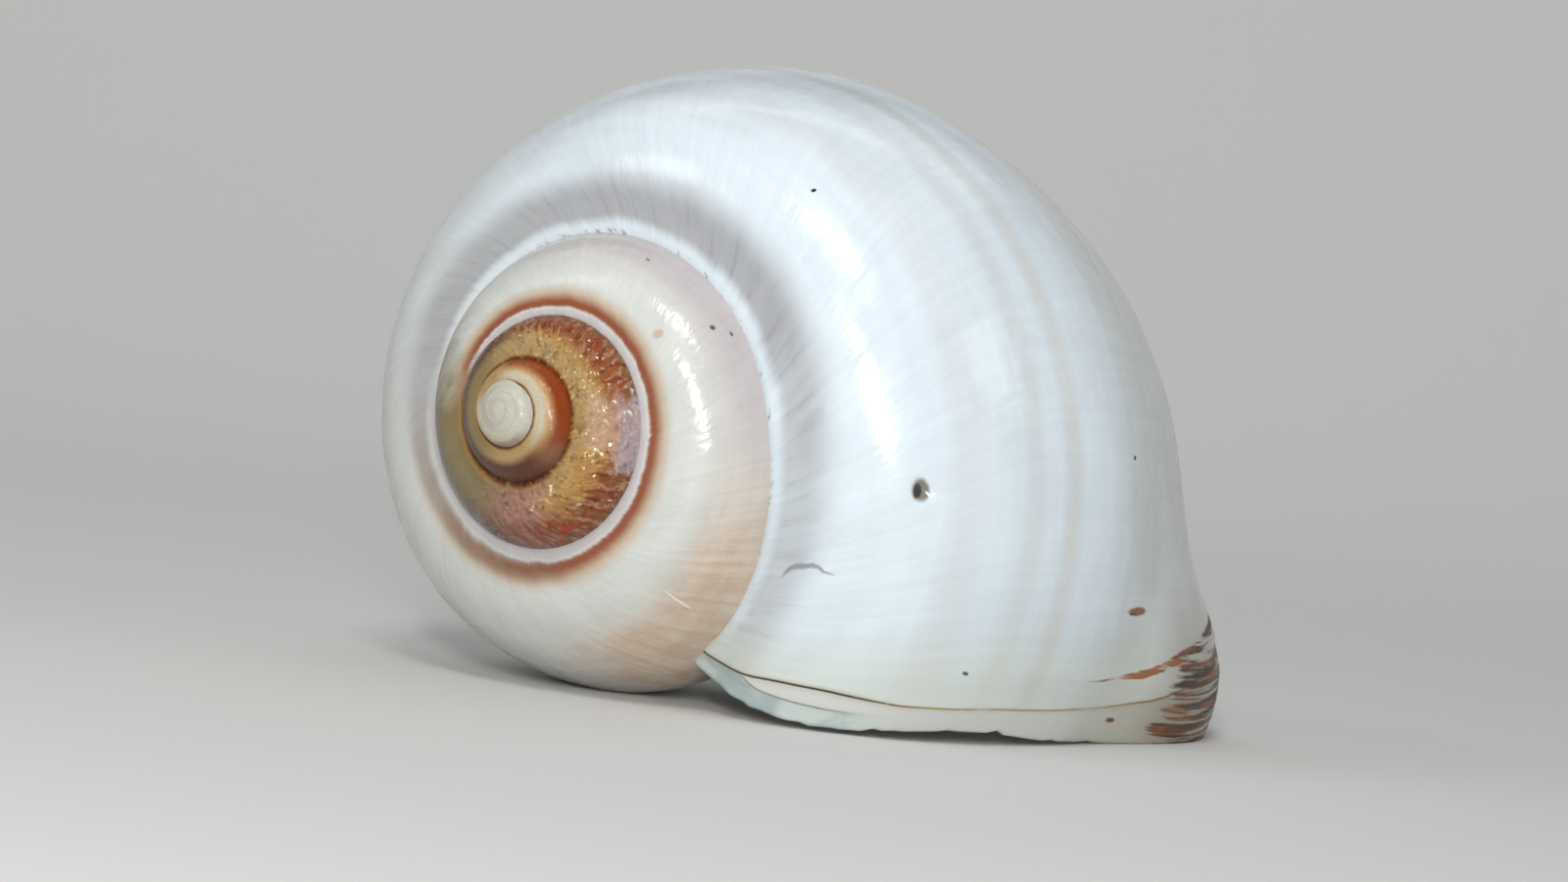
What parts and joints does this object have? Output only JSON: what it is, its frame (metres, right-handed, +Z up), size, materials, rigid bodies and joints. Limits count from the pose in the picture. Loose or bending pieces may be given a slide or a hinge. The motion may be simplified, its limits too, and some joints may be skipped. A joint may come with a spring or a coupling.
{
  "type": "moon snail shell",
  "caption": "Empty globe-shaped moon snail shell with a low spire, a wide half-moon mouth, a thin worn lip and a narrow navel, lying mouth down.",
  "frame": {"origin": "centre of the bounding box in plan, at the surface the shell lies on", "axes": "+Z up, +X from the belly of the last whorl towards the lip, -Y is the side the apex faces"},
  "size_m": [0.071, 0.0508, 0.0505],
  "materials": {
    "shell": "glossy porcelain-like aragonite, bluish white on the last whorl, cream and tan towards the apex with rust-brown bands beside the seam, brown skin remains at the lip"
  },
  "bodies": {
    "root": {"shell": "shell"}
  },
  "joints": []
}
